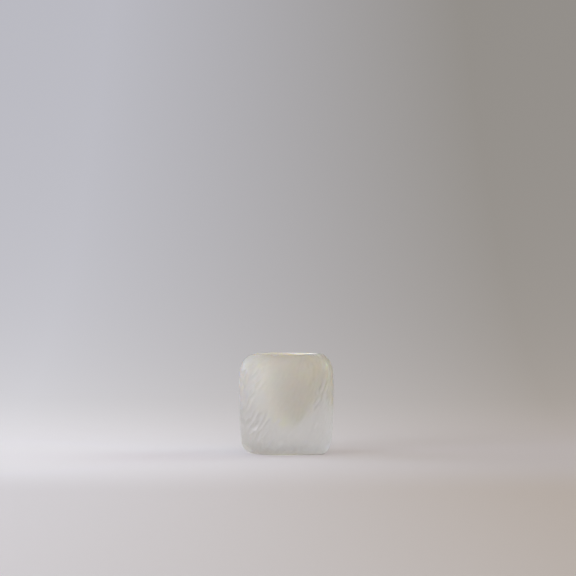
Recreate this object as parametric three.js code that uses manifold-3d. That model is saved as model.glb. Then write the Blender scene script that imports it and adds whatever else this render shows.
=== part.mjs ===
// A small vase made as a block of glass: a heavy clear casing, soft at every corner, around an opal cup.
// Millimetres, +Z up, front towards -Y. The origin is the middle of the base.
import * as THREE from "three";
import { mergeVertices } from "three/addons/utils/BufferGeometryUtils.js";
import Module from "manifold-3d";

// ---- Driving dimensions: the block ----
const BLOCK_WIDTH = 95; // X, at the widest level
const BLOCK_DEPTH = 95; // Y, at the widest level
const BLOCK_HEIGHT = 100;
const PLAN_SQUARENESS = 4.6; // exponent of the soft square seen from above: 2 is a circle
const EDGE_SQUARENESS = 2.2; // the same for the foot and shoulder curves

// Each wall leans out from the base to its widest level and is rounded off by a foot curve and a shoulder
// curve. "In" is how far a curve draws in towards the axis, "up" is how much of the height it takes. The
// block is finished by hand, so left and right differ a little.
const WIDEST_LEVEL = 50;
const TAPER_IN = 3; // what the walls have drawn in at the base, before the foot curve
const TAPER_BEND = 1.5; // 1 is a straight lean, higher bends more at the base
const LEFT_FOOT_IN = 17;
const LEFT_FOOT_UP = 12;
const LEFT_SHOULDER_IN = 20;
const LEFT_SHOULDER_UP = 21;
const RIGHT_FOOT_IN = 8;
const RIGHT_FOOT_UP = 20;
const RIGHT_SHOULDER_IN = 16;
const RIGHT_SHOULDER_UP = 24;
const FACE_FOOT_IN = 14; // front and back walls
const FACE_FOOT_UP = 14;
const FACE_SHOULDER_IN = 18;
const FACE_SHOULDER_UP = 22;

// ---- Driving dimensions: the hollow and the opal cup in it ----
const SIDE_GLASS = 14.5; // casing left between the cup and the nearest outside wall
const BASE_GLASS = 27.5; // casing left under the cup
const BOWL_RISE = 60; // height of the cup's rounded bottom, outside
const OPAL_WALL = 3;
const LIP_RADIUS = 1.2; // round on the inner edge of the mouth
const LAYER_CLEARANCE = 0.3; // keeps the two layers separate solids

// ---- Fineness of the curved surfaces ----
const BLOCK_SEGMENTS = 72; // around the block
const BLOCK_LEVELS = 34; // from base to top
const CUP_SEGMENTS = 56; // around the cup
const BOWL_STEPS = 9; // half the steps along the rounded bottom
const LIP_STEPS = 2; // half the steps along the lip

const cupRadius = Math.min(BLOCK_WIDTH, BLOCK_DEPTH) / 2 - SIDE_GLASS;
const bowlTop = BASE_GLASS + BOWL_RISE;

const wasm = await Module();
wasm.setup();

// ---- Solids ----

function toSolid(geometry) {
  const bare = geometry.clone();
  bare.deleteAttribute("normal");
  bare.deleteAttribute("uv");
  const merged = mergeVertices(bare);
  const vertProperties = new Float32Array(merged.attributes.position.array);
  const triVerts = new Uint32Array(merged.index.array);
  return new wasm.Manifold(new wasm.Mesh({ numProp: 3, vertProperties, triVerts }));
}

function toGeometry(solid) {
  const mesh = solid.getMesh();
  const geometry = new THREE.BufferGeometry();
  geometry.setAttribute("position", new THREE.BufferAttribute(mesh.vertProperties, 3));
  geometry.setIndex(new THREE.BufferAttribute(mesh.triVerts, 1));
  geometry.computeVertexNormals();
  return geometry;
}

// ---- The block's outside: soft squares, one at each level, lofted from base to top ----

// What an edge curve has drawn in at a distance t from the end of the wall that it rounds.
function edgeInset(t, reachIn, reachUp) {
  const up = Math.min(reachUp, BLOCK_HEIGHT / 2);
  if (t >= up) return 0;
  const rise = Math.pow(1 - t / up, EDGE_SQUARENESS);
  return reachIn * (1 - Math.pow(1 - rise, 1 / EDGE_SQUARENESS));
}

// What the lean of the walls has drawn in at height z.
function taperInset(z) {
  return TAPER_IN * Math.pow(Math.max(0, 1 - z / WIDEST_LEVEL), TAPER_BEND);
}

// Distance from the axis to one wall at height z.
function wallReach(z, half, footIn, footUp, shoulderIn, shoulderUp) {
  const foot = edgeInset(z, footIn, footUp);
  const shoulder = edgeInset(BLOCK_HEIGHT - z, shoulderIn, shoulderUp);
  return half - taperInset(z) - foot - shoulder;
}

// The soft square at height z, as points in turn around the axis.
function softSquare(z) {
  const left = wallReach(
    z, BLOCK_WIDTH / 2, LEFT_FOOT_IN, LEFT_FOOT_UP, LEFT_SHOULDER_IN, LEFT_SHOULDER_UP,
  );
  const right = wallReach(
    z, BLOCK_WIDTH / 2, RIGHT_FOOT_IN, RIGHT_FOOT_UP, RIGHT_SHOULDER_IN, RIGHT_SHOULDER_UP,
  );
  const face = wallReach(
    z, BLOCK_DEPTH / 2, FACE_FOOT_IN, FACE_FOOT_UP, FACE_SHOULDER_IN, FACE_SHOULDER_UP,
  );
  const ring = [];
  for (let i = 0; i < BLOCK_SEGMENTS; i++) {
    const angle = (2 * Math.PI * i) / BLOCK_SEGMENTS;
    const x = Math.cos(angle);
    const y = Math.sin(angle);
    const across = Math.pow(Math.abs(x) / (x < 0 ? left : right), PLAN_SQUARENESS);
    const along = Math.pow(Math.abs(y) / face, PLAN_SQUARENESS);
    const radius = Math.pow(across + along, -1 / PLAN_SQUARENESS);
    ring.push(new THREE.Vector3(radius * x, radius * y, z));
  }
  return ring;
}

// A closed skin over rings of equally many points, lowest first, with a flat cap at each end.
function loft(rings) {
  const count = rings[0].length;
  const points = rings.flat();
  const bottomCentre = points.push(new THREE.Vector3(0, 0, rings[0][0].z)) - 1;
  const topCentre = points.push(new THREE.Vector3(0, 0, rings[rings.length - 1][0].z)) - 1;
  const lastRing = (rings.length - 1) * count;
  const faces = [];
  for (let i = 0; i < count; i++) {
    const next = (i + 1) % count;
    faces.push(bottomCentre, next, i);
    faces.push(topCentre, lastRing + i, lastRing + next);
    for (let low = 0; low < lastRing; low += count) {
      const high = low + count;
      faces.push(low + i, low + next, high + next);
      faces.push(low + i, high + next, high + i);
    }
  }
  return new THREE.BufferGeometry().setFromPoints(points).setIndex(faces);
}

// Levels crowd towards base and top, where the walls curve most.
function blockGeometry() {
  const rings = [];
  for (let i = 0; i <= BLOCK_LEVELS; i++) {
    const z = (BLOCK_HEIGHT / 2) * (1 - Math.cos((Math.PI * i) / BLOCK_LEVELS));
    rings.push(softSquare(z));
  }
  return loft(rings);
}

// ---- The cup: a straight wall on a rounded bottom, turned about the axis ----

function turned(profile) {
  return new THREE.LatheGeometry(profile, CUP_SEGMENTS).rotateX(Math.PI / 2);
}

// Half-section of the cup's outside grown by a clearance, from the axis up to a height.
function bowlProfile(clearance, top) {
  const path = new THREE.Path();
  const radius = cupRadius + clearance;
  path.absellipse(0, bowlTop, radius, BOWL_RISE + clearance, -Math.PI / 2, 0);
  path.lineTo(radius, top);
  return path.getPoints(BOWL_STEPS);
}

// The room for the cup in the casing, run out past the block's top.
function hollowGeometry() {
  const past = BLOCK_HEIGHT + LIP_RADIUS;
  const profile = bowlProfile(LAYER_CLEARANCE, past);
  profile.push(new THREE.Vector2(0, past));
  return turned(profile);
}

function cupGeometry() {
  const innerRadius = cupRadius - OPAL_WALL;
  const innerRise = BOWL_RISE - OPAL_WALL;
  const lip = new THREE.Path();
  lip.absarc(innerRadius + LIP_RADIUS, BLOCK_HEIGHT - LIP_RADIUS, LIP_RADIUS, Math.PI / 2, Math.PI);
  const inside = new THREE.Path();
  inside.absellipse(0, bowlTop, innerRadius, innerRise, 0, -Math.PI / 2, true);
  return turned([
    ...bowlProfile(0, BLOCK_HEIGHT),
    ...lip.getPoints(LIP_STEPS),
    ...inside.getPoints(BOWL_STEPS),
  ]);
}

// ---- Assembly ----

const block = toSolid(blockGeometry());
const casing = block.subtract(toSolid(hollowGeometry()));
// The mouth is ground as one face, so the cup is cut by the block's own top.
const cup = toSolid(cupGeometry()).intersect(block);

const clearGlass = new THREE.MeshStandardMaterial({
  color: 0xdde3dc,
  roughness: 0.45,
  metalness: 0,
  transparent: true,
  opacity: 0.35,
});
const opalGlass = new THREE.MeshStandardMaterial({ color: 0xded9c9, roughness: 0.35, metalness: 0 });

const casingMesh = new THREE.Mesh(toGeometry(casing), clearGlass);
casingMesh.name = "casing";
const cupMesh = new THREE.Mesh(toGeometry(cup), opalGlass);
cupMesh.name = "opal_cup";

const vase = new THREE.Group();
vase.add(casingMesh, cupMesh);

export default vase;
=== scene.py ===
# A block of clear satin glass, cut all over with short slanted strokes, around a cup of opal glass.
# It stands on a pale sweep in a dim room with three soft windows. Metres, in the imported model's frame.
import math

import bpy
import numpy as np
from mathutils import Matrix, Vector, kdtree


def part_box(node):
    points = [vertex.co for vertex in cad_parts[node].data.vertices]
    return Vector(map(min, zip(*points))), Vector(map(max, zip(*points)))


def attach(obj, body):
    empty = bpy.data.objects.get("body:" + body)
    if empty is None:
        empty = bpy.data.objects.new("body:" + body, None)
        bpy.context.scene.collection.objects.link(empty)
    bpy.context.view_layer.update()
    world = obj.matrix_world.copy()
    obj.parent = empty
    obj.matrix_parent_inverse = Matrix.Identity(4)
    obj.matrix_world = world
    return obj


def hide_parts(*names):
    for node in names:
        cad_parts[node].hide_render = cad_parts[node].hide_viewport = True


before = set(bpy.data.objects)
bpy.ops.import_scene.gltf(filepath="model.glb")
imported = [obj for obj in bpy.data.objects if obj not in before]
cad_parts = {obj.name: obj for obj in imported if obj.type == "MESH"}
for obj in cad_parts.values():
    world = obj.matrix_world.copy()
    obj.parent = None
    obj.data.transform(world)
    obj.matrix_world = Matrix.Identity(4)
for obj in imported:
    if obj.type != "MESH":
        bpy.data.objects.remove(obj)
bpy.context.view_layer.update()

MM = 0.001

# ---- The block and the cup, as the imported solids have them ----
casing_low, casing_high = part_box("casing")
cup_low, cup_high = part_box("opal_cup")
HALF_WIDTH = (casing_high.x - casing_low.x) / 2
HALF_DEPTH = (casing_high.y - casing_low.y) / 2
HEIGHT = casing_high.z
CUP_RADIUS = (cup_high.x - cup_low.x) / 2
CUP_BOTTOM = cup_low.z

PLAN_SQUARENESS = 4.6
EDGE_SQUARENESS = 2.2
WIDEST_LEVEL = 50 * MM
TAPER_IN = 3 * MM
TAPER_BEND = 1.5
# (in, up) of each wall's foot curve and shoulder curve
LEFT_FOOT, LEFT_SHOULDER = (17 * MM, 12 * MM), (20 * MM, 21 * MM)
RIGHT_FOOT, RIGHT_SHOULDER = (8 * MM, 20 * MM), (16 * MM, 24 * MM)
FACE_FOOT, FACE_SHOULDER = (14 * MM, 14 * MM), (18 * MM, 22 * MM)
BOWL_RISE = 60 * MM
BOWL_TOP = CUP_BOTTOM + BOWL_RISE
OPAL_WALL = 3 * MM
LIP_RADIUS = 1.2 * MM

# ---- The cut strokes ----
STROKE_SEED = 7
STROKE_TRIES = 30000
STROKE_LENGTH = 16.0 * MM
STROKE_WIDTH = 5.2 * MM
STROKE_DEPTH = 0.55 * MM
# The least and the most that one stroke's length, width and depth are of those
LENGTH_RANGE, WIDTH_RANGE, DEPTH_RANGE = (0.75, 1.25), (0.8, 1.2), (0.7, 1.3)
STROKE_SLANT = math.radians(64)  # from the horizontal, rising to the right
STROKE_SWAY = math.radians(7)
STROKE_APART = (8.8 * MM, 3.4 * MM)  # least distance of two strokes, along and across
RIDGE_SOFTNESS = 0.02 * MM  # rounds the ridges where strokes meet
# Shares of the depth in the middle of a face, and towards the block's left and right edges
MIDDLE_DEPTH, LEFT_DEPTH, RIGHT_DEPTH = 0.5, 1.5, 0.8
HIGH_DEPTH = 1.4  # near an edge they are this much deeper again at the shoulder
HIGH_FADE = (0.3, 0.85)  # shares of the height between which they get so
MIDDLE_LEVEL, MIDDLE_REACH = 0.62, 0.75  # middle of a face and its reach up and down, of the height
MIDDLE_FADE = (0.3, 0.85)  # shares of the way out from that middle, between which the depth changes
BARE_FOOT = (0.2 * MM, 2.5 * MM)  # heights between which they come in
BARE_RIM = (CUP_RADIUS + 1 * MM, CUP_RADIUS + 5 * MM)  # radii between which they come in

# ---- Fineness of the meshes ----
COLUMNS = 600  # around the block
ROWS = 160  # up its outside
LINE_POINTS = 600  # along each outline that the rows are spaced on
CUP_COLUMNS = 176
CUP_ROWS = 12  # along a straight wall of the cup
BOWL_ROWS = 25  # along its rounded bottom
LIP_ROWS = 7
SWEEP_STEPS = 48
SKIN = 0.02 * MM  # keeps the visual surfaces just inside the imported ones

# ---- The casing's hidden surface, inside the opal wall ----
TUCK_IN, TUCK_DOWN = 0.3 * MM, 0.5 * MM  # its first ring, from the edge of the mouth
HIDDEN_STEPS = (0, 0.3, 0.6, 0.85)  # the next ones, as shares of the bowl's quarter turn

# ---- The grinding marks, in a space where height counts less ----
GRAIN_STRETCH = 8  # they are this much longer than wide
GRAIN_HEIGHT = 1.4 * HEIGHT / GRAIN_STRETCH  # 1.4 for the way in under the foot and over the shoulder


# ---- The block's surface ----

def edge_inset(t, reach):
    """What an edge curve has drawn in at a distance t from the end of the wall that it rounds."""
    reach_in, reach_up = reach
    rise = np.clip(1 - t / reach_up, 0, 1) ** EDGE_SQUARENESS
    return reach_in * (1 - (1 - rise) ** (1 / EDGE_SQUARENESS))


def wall_reach(z, half, foot, shoulder):
    """Distance from the axis to one wall at height z."""
    taper = TAPER_IN * np.clip(1 - z / WIDEST_LEVEL, 0, 1) ** TAPER_BEND
    return half - taper - edge_inset(z, foot) - edge_inset(HEIGHT - z, shoulder)


def block_radius(z, angle):
    """Distance from the axis to the block's surface, for arrays of heights and angles."""
    x, y = np.cos(angle), np.sin(angle)
    left = wall_reach(z, HALF_WIDTH, LEFT_FOOT, LEFT_SHOULDER)
    right = wall_reach(z, HALF_WIDTH, RIGHT_FOOT, RIGHT_SHOULDER)
    face = wall_reach(z, HALF_DEPTH, FACE_FOOT, FACE_SHOULDER)
    across = (np.abs(x) / np.where(x < 0, left, right)) ** PLAN_SQUARENESS
    along = (np.abs(y) / face) ** PLAN_SQUARENESS
    return (across + along) ** (-1 / PLAN_SQUARENESS) - SKIN


def wall_line(angle, mouth, rows):
    """The block's outline at one angle, evenly stepped from the base's edge up to the mouth's radius."""
    z = HEIGHT / 2 * (1 - np.cos(np.linspace(0, math.pi, LINE_POINTS)))
    r = block_radius(z, np.full_like(z, angle))
    if r[-1] > mouth:
        z, r = np.append(z, HEIGHT), np.append(r, mouth)
    else:
        last = np.flatnonzero(r > mouth)[-1]
        share = (r[last] - mouth) / (r[last] - r[last + 1])
        top = z[last] + share * (z[last + 1] - z[last])
        z, r = np.append(z[: last + 1], top), np.append(r[: last + 1], mouth)
    z = np.clip(z, SKIN, HEIGHT - SKIN)
    way = np.concatenate([[0], np.cumsum(np.hypot(np.diff(r), np.diff(z)))])
    steps = np.linspace(0, way[-1], rows)
    return np.interp(steps, way, r), np.interp(steps, way, z)


# ---- Meshes from rings of points ----

def ring_mesh(name, rings, low_pole, high_pole):
    """A closed mesh over rings of equally many points, with a point closing each end."""
    rows, count = rings.shape[:2]
    points = np.concatenate([rings.reshape(-1, 3), [low_pole, high_pole]])
    here = np.arange(count)
    there = (here + 1) % count
    starts = np.arange(rows - 1)[:, None] * count
    quads = np.stack(
        [starts + here, starts + there, starts + count + there, starts + count + here], -1
    ).reshape(-1, 4)
    low = [(rows * count, j, i) for i, j in zip(here.tolist(), there.tolist())]
    last = (rows - 1) * count
    high = [(rows * count + 1, last + i, last + j) for i, j in zip(here.tolist(), there.tolist())]
    mesh = bpy.data.meshes.new(name)
    mesh.from_pydata(points.tolist(), [], quads.tolist() + low + high)
    mesh.validate()
    mesh.polygons.foreach_set("use_smooth", [True] * len(mesh.polygons))
    made = bpy.data.objects.new(name, mesh)
    bpy.context.collection.objects.link(made)
    return made


def ring(radius, z, angles):
    """Points at a radius and height, each one number or one for each angle."""
    radius, z = np.broadcast_to(radius, angles.shape), np.broadcast_to(z, angles.shape)
    return np.stack([radius * np.cos(angles), radius * np.sin(angles), z], -1)


def slanted_wall(mouth):
    """A ring grid from the base's edge to the mouth, with columns that run as the strokes do."""
    angles = np.linspace(0, 2 * math.pi, COLUMNS, endpoint=False)
    lines = [wall_line(a, mouth, ROWS) for a in angles]
    r, z = (np.array(v).T for v in zip(*lines))
    length = np.hypot(np.diff(r[:, 0]), np.diff(z[:, 0])).sum()
    drift = length / math.tan(STROKE_SLANT) / HALF_WIDTH
    turned = angles + np.linspace(0, drift, ROWS)[:, None]

    def along_ring(values, row):
        return np.interp(turned[row], angles, values[row], period=2 * math.pi)

    r = np.stack([along_ring(r, row) for row in range(ROWS)])
    z = np.stack([along_ring(z, row) for row in range(ROWS)])
    return np.stack([r * np.cos(turned), r * np.sin(turned), z], -1), turned


def grid_frame(grid):
    """Unit vectors at each point of a ring grid: around the block, up its surface and out of it."""
    around = np.roll(grid, -1, 1) - np.roll(grid, 1, 1)
    up = np.gradient(grid, axis=0)
    out = np.cross(around, up)

    def unit(v):
        return v / np.maximum(np.linalg.norm(v, axis=-1, keepdims=True), 1e-12)

    out = unit(out)
    around = unit(around)
    return around, np.cross(out, around), out


# ---- The cut strokes: long shallow scoops, laid all over by a seeded dart throw ----

def throw_strokes(points, around, up, rng):
    """Indices of the points that strokes are centred on, no two too near along or across the slant."""
    along = math.cos(STROKE_SLANT) * around + math.sin(STROKE_SLANT) * up
    across = -math.sin(STROKE_SLANT) * around + math.cos(STROKE_SLANT) * up
    reach = STROKE_APART[0]
    cells, kept = {}, []
    for i in rng.permutation(len(points))[:STROKE_TRIES]:
        p = points[i]
        cell = tuple((p // reach).astype(int))
        near = [
            j
            for dx in (-1, 0, 1)
            for dy in (-1, 0, 1)
            for dz in (-1, 0, 1)
            for j in cells.get((cell[0] + dx, cell[1] + dy, cell[2] + dz), ())
        ]
        if near:
            d = points[near] - p
            gap = (d @ along[i] / STROKE_APART[0]) ** 2 + (d @ across[i] / STROKE_APART[1]) ** 2
            if gap.min() < 1:
                continue
        cells.setdefault(cell, []).append(i)
        kept.append(i)
    return kept


def stroke_depths(grid):
    """How deep the strokes cut at each point of the grid."""
    rng = np.random.default_rng(STROKE_SEED)
    around, up, out = (v.reshape(-1, 3) for v in grid_frame(grid))
    points = grid.reshape(-1, 3)
    tree = kdtree.KDTree(len(points))
    for i, p in enumerate(points):
        tree.insert(p, i)
    tree.balance()
    pile = np.zeros(len(points))
    for i in throw_strokes(points, around, up, rng):
        length = STROKE_LENGTH * rng.uniform(*LENGTH_RANGE)
        width = STROKE_WIDTH * rng.uniform(*WIDTH_RANGE)
        deepest = STROKE_DEPTH * rng.uniform(*DEPTH_RANGE)
        slant = STROKE_SLANT + rng.normal(0, STROKE_SWAY)
        line = math.cos(slant) * around[i] + math.sin(slant) * up[i]
        side = np.cross(out[i], line)
        near = np.array([j for _, j, _ in tree.find_range(Vector(points[i]), length / 2)])
        near = near[out[near] @ out[i] > 0]
        d = points[near] - points[i]
        cut = deepest * (1 - (2 * (d @ line) / length) ** 2 - (2 * (d @ side) / width) ** 2)
        pile[near] += np.exp(cut / RIDGE_SOFTNESS)
    return RIDGE_SOFTNESS * np.log1p(pile).reshape(grid.shape[:2])


def smoothstep(low, high, x):
    t = np.clip((x - low) / (high - low), 0, 1)
    return t * t * (3 - 2 * t)


def face_shares(wall):
    """The share of the full depth that the strokes have at each point of the block's outside."""
    x, y, z = wall[..., 0], wall[..., 1], wall[..., 2] / HEIGHT
    off_middle = np.minimum(np.abs(x) / HALF_WIDTH, np.abs(y) / HALF_DEPTH)
    off_middle = np.hypot(off_middle, (z - MIDDLE_LEVEL) / MIDDLE_REACH)
    edge_depth = np.interp(x, (-HALF_WIDTH, HALF_WIDTH), (LEFT_DEPTH, RIGHT_DEPTH))
    edge_depth *= 1 + (HIGH_DEPTH - 1) * smoothstep(*HIGH_FADE, z)
    return MIDDLE_DEPTH + (edge_depth - MIDDLE_DEPTH) * smoothstep(*MIDDLE_FADE, off_middle)


# ---- The two glasses ----

def set_grain(casing, rows):
    """Gives each point a place on a squashed drum, so that noise there runs as the strokes do."""
    columns = np.linspace(0, 2 * math.pi, COLUMNS, endpoint=False)
    level = np.linspace(0, GRAIN_HEIGHT, rows)[:, None]
    drum = ring(HALF_WIDTH, 0, columns) + level[..., None] * (0, 0, 1)
    ends = drum[[0, -1], 0]
    values = np.concatenate([drum.reshape(-1, 3), ends])
    grain = casing.data.attributes.new("grain", "FLOAT_VECTOR", "POINT")
    grain.data.foreach_set("vector", values.ravel())


def make_casing():
    wall, angles = slanted_wall(CUP_RADIUS)
    depth = stroke_depths(wall)
    # The strokes stop short of the ground base and of the ground band round the mouth.
    depth *= smoothstep(*BARE_FOOT, wall[..., 2])
    depth *= smoothstep(*BARE_RIM, np.hypot(wall[..., 0], wall[..., 1]))
    depth *= face_shares(wall)
    foot = wall[0] * (0.5, 0.5, 1)  # half way in on the flat base
    wall = wall - depth[..., None] * grid_frame(wall)[2]
    # Past the mouth the glass goes on in the middle of the opal wall, where nothing shows.
    mouth_angles = angles[-1]
    hidden = CUP_RADIUS - OPAL_WALL / 2
    rise = BOWL_RISE - OPAL_WALL / 2
    below = [ring(CUP_RADIUS - TUCK_IN, wall[-1, :, 2] - TUCK_DOWN, mouth_angles)]
    for share in HIDDEN_STEPS:
        turn = share * math.pi / 2
        below.append(ring(hidden * math.cos(turn), BOWL_TOP - rise * math.sin(turn), mouth_angles))
    rings = np.stack([foot, *wall, *below])
    casing = ring_mesh("casing_glass", rings, (0, 0, SKIN), (0, 0, CUP_BOTTOM + OPAL_WALL / 2))
    set_grain(casing, rings.shape[0])
    return casing


def make_cup():
    angles = np.linspace(0, 2 * math.pi, CUP_COLUMNS, endpoint=False)
    inner, inner_rise = CUP_RADIUS - OPAL_WALL, BOWL_RISE - OPAL_WALL

    def top(radius):
        """Height of the block's top over a circle about the axis."""
        heights = []
        for a in angles:
            _, z = wall_line(a, radius, 2)
            heights.append(z[-1])
        return np.array(heights)

    rings = []
    for turn in np.linspace(0, math.pi / 2, BOWL_ROWS)[1:]:
        rings.append(
            ring(CUP_RADIUS * math.sin(turn), BOWL_TOP - BOWL_RISE * math.cos(turn), angles)
        )
    rim = top(CUP_RADIUS)
    for share in np.linspace(0, 1, CUP_ROWS)[1:]:
        rings.append(ring(CUP_RADIUS, BOWL_TOP + share * (rim - BOWL_TOP), angles))
    lip_line = inner + LIP_RADIUS
    rings.append(ring((CUP_RADIUS + lip_line) / 2, top((CUP_RADIUS + lip_line) / 2), angles))
    lip_top = top(lip_line)
    for turn in np.linspace(0, math.pi / 2, LIP_ROWS):
        rings.append(
            ring(
                lip_line - LIP_RADIUS * math.sin(turn),
                lip_top - LIP_RADIUS * (1 - math.cos(turn)),
                angles,
            )
        )
    lip_foot = lip_top - LIP_RADIUS
    for share in np.linspace(0, 1, CUP_ROWS)[1:]:
        rings.append(ring(inner, lip_foot + share * (BOWL_TOP - lip_foot), angles))
    for turn in np.linspace(math.pi / 2, 0, BOWL_ROWS)[1:-1]:
        rings.append(ring(inner * math.sin(turn), BOWL_TOP - inner_rise * math.cos(turn), angles))
    return ring_mesh(
        "opal_glass_cup", np.stack(rings), (0, 0, CUP_BOTTOM), (0, 0, CUP_BOTTOM + OPAL_WALL)
    )


# ---- Materials ----

# Scale and detail of each noise
CLEAR_CLOUDS, CLEAR_PATCHES, MARK_GRAIN, SATIN_GRAIN = (45, 4), (160, 3), (900, 4), (3500, 2)
OPAL_CLOUDS, OPAL_PATCHES = (60, 4), (200, 2)
NOISE_SPAN = (0.3, 0.7)  # what a noise mostly keeps to
CLEAR_TONES = ((0.95, 0.96, 0.945), (0.99, 0.99, 0.985))
# Under about 0.28 Cycles' denoiser takes a rough surface for a mirror, and the change shows as flecks
CLEAR_ROUGHNESS = (0.28, 0.36)
CLEAR_SHARE = 0.82  # of the light that enters, what goes through and isn't scattered at the satin skin
CLEAR_IOR = 1.5
GLASS_TINT, TINT_DENSITY = (0.90, 0.90, 0.86, 1), 6
MARK_HEIGHT = 0.06 * MM  # of the grinding marks
SATIN_HEIGHT = 0.01 * MM  # of the fine grain that acid leaves
OPAL_TONES = ((0.855, 0.827, 0.765), (0.89, 0.867, 0.81))
OPAL_ROUGHNESS = (0.29, 0.37)
OPAL_RADII, OPAL_REACH = (1.0, 0.8, 0.5), 6 * MM  # how far light soaks in, by colour


def new_material(name):
    material = bpy.data.materials.new(name)
    material.use_nodes = True
    material.node_tree.nodes.clear()
    return material, material.node_tree


def feed(tree, socket, value):
    """Gives a socket its value, which is another socket or a constant."""
    if isinstance(value, bpy.types.NodeSocket):
        tree.links.new(value, socket)
    else:
        socket.default_value = value


def add(tree, kind, **values):
    """A new node, with its settings and inputs given by name."""
    node = tree.nodes.new(kind)
    for name, value in values.items():
        if name in node.inputs:
            feed(tree, node.inputs[name], value)
        else:
            setattr(node, name, value)
    return node


def noise(tree, where, scale, detail):
    return add(tree, "ShaderNodeTexNoise", Vector=where, Scale=scale, Detail=detail).outputs["Fac"]


def remap(tree, value, low, high, to_low, to_high, kind="SMOOTHSTEP"):
    node = add(tree, "ShaderNodeMapRange", interpolation_type=kind, Value=value)
    numbers = {"From Min": low, "From Max": high, "To Min": to_low, "To Max": to_high}
    for name, number in numbers.items():
        node.inputs[name].default_value = number
    return node.outputs["Result"]


def mix_colour(tree, share, a, b):
    """A blend of two colours, each a socket or three numbers."""
    node = tree.nodes.new("ShaderNodeMix")
    node.data_type = "RGBA"
    tree.links.new(share, node.inputs["Factor"])
    sockets = [s for s in node.inputs if s.type == "RGBA"]
    for socket, value in zip(sockets, (a, b)):
        feed(tree, socket, value if isinstance(value, bpy.types.NodeSocket) else (*value, 1))
    return [s for s in node.outputs if s.type == "RGBA"][0]


def bump(tree, distance, height, under=None):
    """The normals of a relief, which lies on another one if that one's normals are given."""
    node = add(tree, "ShaderNodeBump", Strength=1.0, Distance=distance, Height=height)
    if under is not None:
        tree.links.new(under, node.inputs["Normal"])
    return node.outputs["Normal"]


def satin_glass():
    """Clear glass with an acid-satin skin over faint grinding marks that run along the strokes."""
    material, tree = new_material("clear_satin_glass")
    where = add(tree, "ShaderNodeTexCoord").outputs["Object"]
    drum = add(tree, "ShaderNodeAttribute", attribute_name="grain").outputs["Vector"]
    colour = mix_colour(tree, noise(tree, where, *CLEAR_CLOUDS), *CLEAR_TONES)
    patches = noise(tree, where, *CLEAR_PATCHES)
    roughness = remap(tree, patches, *NOISE_SPAN, *CLEAR_ROUGHNESS)
    marks = bump(tree, MARK_HEIGHT, noise(tree, drum, *MARK_GRAIN))
    skin = bump(tree, SATIN_HEIGHT, noise(tree, where, *SATIN_GRAIN), marks)
    shader = add(tree, "ShaderNodeBsdfPrincipled", Normal=skin)
    tree.links.new(colour, shader.inputs["Base Color"])
    tree.links.new(roughness, shader.inputs["Roughness"])
    shader.inputs["Transmission Weight"].default_value = CLEAR_SHARE
    shader.inputs["IOR"].default_value = CLEAR_IOR
    tint = add(tree, "ShaderNodeVolumeAbsorption", Color=GLASS_TINT, Density=TINT_DENSITY)
    output = add(tree, "ShaderNodeOutputMaterial")
    tree.links.new(shader.outputs["BSDF"], output.inputs["Surface"])
    tree.links.new(tint.outputs["Volume"], output.inputs["Volume"])
    return material


def opal_glass():
    """Cream glass that light soaks through."""
    material, tree = new_material("opal_glass")
    where = add(tree, "ShaderNodeTexCoord").outputs["Object"]
    colour = mix_colour(tree, noise(tree, where, *OPAL_CLOUDS), *OPAL_TONES)
    patches = noise(tree, where, *OPAL_PATCHES)
    roughness = remap(tree, patches, *NOISE_SPAN, *OPAL_ROUGHNESS)
    shader = add(tree, "ShaderNodeBsdfPrincipled")
    tree.links.new(colour, shader.inputs["Base Color"])
    tree.links.new(roughness, shader.inputs["Roughness"])
    shader.inputs["Subsurface Weight"].default_value = 1
    shader.inputs["Subsurface Radius"].default_value = OPAL_RADII
    shader.inputs["Subsurface Scale"].default_value = OPAL_REACH
    output = add(tree, "ShaderNodeOutputMaterial")
    tree.links.new(shader.outputs["BSDF"], output.inputs["Surface"])
    return material


# ---- The stage: a dim room with three soft windows, and a pale sweep that rises behind ----

ROOM_LEFT = (0.63, 0.69, 0.63)
ROOM_RIGHT = (0.42, 0.26, 0.20)
# (azimuth, elevation, falloff, tone) of each window; an azimuth of 180 is the left, 270 the front
WINDOWS = (
    (220, 12, 60, (6.0, 5.85, 6.9)),
    (158, 22, 60, (3.0, 3.1, 4.1)),
    (25, 10, 30, (4.5, 5.45, 5.0)),
)
# The sweep is flat as far as its bend and then rises on a wide curve
SWEEP_SIZE = 12.0
SWEEP_BEND = 0.12
SWEEP_RADIUS = 1.5
SWEEP_TOP = 1.2
# The paper's tones beside the block and at the front. Painted light makes them lighter on the left and
# near the block, and painted shade makes them darker to the right and towards the front
PAPER_LEFT_WITH_PAINTED_LIGHT, PAPER_RIGHT_WITH_PAINTED_SHADE = (0.83, 0.89, 0.97), (0.445, 0.455, 0.45)
FRONT_LEFT_WITH_PAINTED_LIGHT, FRONT_RIGHT_WITH_PAINTED_SHADE = (0.67, 0.715, 0.775), (0.41, 0.40, 0.352)
PAPER_FRONT, PAPER_NEAR = -0.40, -0.10  # Y between which the one goes over to the other
PAPER_SPAN = 0.30  # X, either way, between which left goes over to right
PAPER_GLOW = (0.14, 0.105, 0.11)  # light thrown back by the rest of the room
# Behind the block the paper goes over to a glow in the tones of a far wall, with painted shade that
# makes it darker upwards and to the right
LOW_LEFT, LOW_RIGHT = (0.709, 0.698, 0.722), (0.43, 0.388, 0.355)
HIGH_LEFT, HIGH_RIGHT = (0.467, 0.468, 0.518), (0.277, 0.262, 0.245)
WALL_NEAR, WALL_FAR = 0.0, 0.45  # Y between which the paper does so
WALL_SPAN = 0.32  # X, either way
WALL_DIM = 0.08  # height at which the wall is half way to its dimmest
# The light that the block gathers under itself, a soft-edged oval
GATHERED_TONE = (0.71, 0.76, 0.50)
GATHERED_AT = (-2 * MM, 1 * MM, 0)
GATHERED_STRETCH = (1.1, 1.12, 1)
GATHERED_REACH = (20 * MM, 37 * MM)  # full as far as the one, gone at the other


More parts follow.
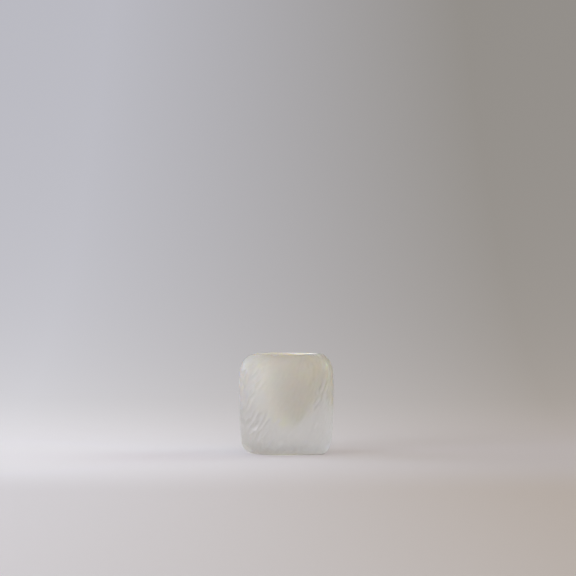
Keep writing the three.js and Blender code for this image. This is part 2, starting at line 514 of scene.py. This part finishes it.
def maths(tree, operation, *values):
    """A Math node over sockets and numbers."""
    node = add(tree, "ShaderNodeMath", operation=operation)
    for socket, value in zip(node.inputs, values):
        feed(tree, socket, value)
    return node.outputs["Value"]


def vector_maths(tree, operation, *values):
    """A Vector Math node over sockets and vectors."""
    node = add(tree, "ShaderNodeVectorMath", operation=operation)
    for socket, value in zip(node.inputs, values):
        feed(tree, socket, value)
    return node.outputs


def separate(tree, vector):
    return add(tree, "ShaderNodeSeparateXYZ", Vector=vector).outputs


def set_world():
    """A dim room with soft windows."""
    world = bpy.data.worlds.new("studio")
    bpy.context.scene.world = world
    world.use_nodes = True
    tree = world.node_tree
    tree.nodes.clear()
    direction = add(tree, "ShaderNodeTexCoord").outputs["Generated"]
    across = remap(tree, separate(tree, direction)["X"], -1, 1, 0, 1, "LINEAR")
    lit = mix_colour(tree, across, ROOM_LEFT, ROOM_RIGHT)
    for azimuth, elevation, falloff, tone in WINDOWS:
        turn, rise = math.radians(azimuth), math.radians(elevation)
        window = (math.cos(turn) * math.cos(rise), math.sin(turn) * math.cos(rise), math.sin(rise))
        toward = vector_maths(tree, "DOT_PRODUCT", direction, window)["Value"]
        lobe = maths(tree, "POWER", maths(tree, "MULTIPLY_ADD", toward, 0.5, 0.5), falloff)
        lit = vector_maths(tree, "MULTIPLY_ADD", tone, lobe, lit)["Vector"]
    light = add(tree, "ShaderNodeBackground", Color=lit, Strength=1.0)
    output = add(tree, "ShaderNodeOutputWorld")
    tree.links.new(light.outputs["Background"], output.inputs["Surface"])


def sweep_material():
    material, tree = new_material("pale_sweep")
    where = add(tree, "ShaderNodeNewGeometry").outputs["Position"]
    parts = separate(tree, where)
    # Painted light and shade on the paper: lighter on the left and near the block, darker to the right
    # and towards the front
    across = remap(tree, parts["X"], -PAPER_SPAN, PAPER_SPAN, 0, 1)
    forward = remap(tree, parts["Y"], PAPER_FRONT, PAPER_NEAR, 0, 1)
    front = mix_colour(tree, across, FRONT_LEFT_WITH_PAINTED_LIGHT, FRONT_RIGHT_WITH_PAINTED_SHADE)
    paper = mix_colour(tree, forward, front, mix_colour(tree, across, PAPER_LEFT_WITH_PAINTED_LIGHT, PAPER_RIGHT_WITH_PAINTED_SHADE))
    matte = add(tree, "ShaderNodeBsdfDiffuse", Color=paper)
    offset = vector_maths(tree, "SUBTRACT", where, GATHERED_AT)["Vector"]
    offset = vector_maths(tree, "DIVIDE", offset, GATHERED_STRETCH)["Vector"]
    distance = vector_maths(tree, "LENGTH", offset)["Value"]
    gathered = remap(tree, distance, *GATHERED_REACH, 1, 0)
    under = tuple(g + s for g, s in zip(GATHERED_TONE, PAPER_GLOW))
    glow = add(tree, "ShaderNodeEmission", Color=mix_colour(tree, gathered, PAPER_GLOW, under))
    near = tree.nodes.new("ShaderNodeAddShader")
    tree.links.new(matte.outputs["BSDF"], near.inputs[0])
    tree.links.new(glow.outputs["Emission"], near.inputs[1])
    # Behind the block the paper glows in a far wall's tones, with painted shade darker upwards and to
    # the right
    along = remap(tree, parts["X"], -WALL_SPAN, WALL_SPAN, 0, 1, "LINEAR")
    low = mix_colour(tree, along, LOW_LEFT, LOW_RIGHT)
    high = mix_colour(tree, along, HIGH_LEFT, HIGH_RIGHT)
    rise = maths(tree, "DIVIDE", parts["Z"], maths(tree, "ADD", parts["Z"], WALL_DIM))
    far = add(tree, "ShaderNodeEmission", Color=mix_colour(tree, rise, low, high))
    whole = add(
        tree, "ShaderNodeMixShader", Fac=remap(tree, parts["Y"], WALL_NEAR, WALL_FAR, 0, 1)
    )
    tree.links.new(near.outputs["Shader"], whole.inputs[1])
    tree.links.new(far.outputs["Emission"], whole.inputs[2])
    output = add(tree, "ShaderNodeOutputMaterial")
    tree.links.new(whole.outputs["Shader"], output.inputs["Surface"])
    return material


def make_floor():
    rises = [SWEEP_TOP * (i / SWEEP_STEPS) ** 2 for i in range(SWEEP_STEPS + 1)]
    line = [(-SWEEP_SIZE, 0.0)]
    line += [(SWEEP_BEND + math.sqrt(2 * SWEEP_RADIUS * z), z) for z in rises]
    points = [(x, y, z) for y, z in line for x in (-SWEEP_SIZE, SWEEP_SIZE)]
    strips = [(2 * i, 2 * i + 1, 2 * i + 3, 2 * i + 2) for i in range(len(line) - 1)]
    mesh = bpy.data.meshes.new("floor")
    mesh.from_pydata(points, [], strips)
    mesh.polygons.foreach_set("use_smooth", [True] * len(mesh.polygons))
    mesh.materials.append(sweep_material())
    floor = bpy.data.objects.new("floor", mesh)
    bpy.context.collection.objects.link(floor)
    return floor


# ---- The camera ----

FRAME_PIXELS = 576
LENS, SENSOR = 120.0, 36.0
PIXELS_PER_MM = 0.984  # at the middle of the block
OBJECT_AT = (286.4, 402.8)  # the block's middle in the picture
ELEVATION = math.radians(3.5)


def make_camera():
    pixels_per_slope = LENS / SENSOR * FRAME_PIXELS
    distance = pixels_per_slope / PIXELS_PER_MM * MM
    middle = Vector((0, 0, HEIGHT / 2))
    back = Vector((0, -math.cos(ELEVATION), math.sin(ELEVATION)))
    right = Vector((1, 0, 0))
    up = right.cross(-back)
    per_pixel = distance / pixels_per_slope
    aim = middle + up * (OBJECT_AT[1] - FRAME_PIXELS / 2) * per_pixel
    aim = aim + right * (FRAME_PIXELS / 2 - OBJECT_AT[0]) * per_pixel
    data = bpy.data.cameras.new("camera")
    data.lens, data.sensor_width = LENS, SENSOR
    camera = bpy.data.objects.new("camera", data)
    bpy.context.collection.objects.link(camera)
    camera.location = middle + back * distance
    camera.rotation_euler = (aim - camera.location).to_track_quat("-Z", "Y").to_euler()
    bpy.context.scene.camera = camera


# ---- Assembly ----

make_camera()

casing = make_casing()
casing.data.materials.append(satin_glass())
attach(casing, "root")
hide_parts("casing")

cup = make_cup()
cup.data.materials.append(opal_glass())
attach(cup, "root")
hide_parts("opal_cup")

make_floor()
set_world()

bpy.context.scene.view_settings.view_transform = "Standard"
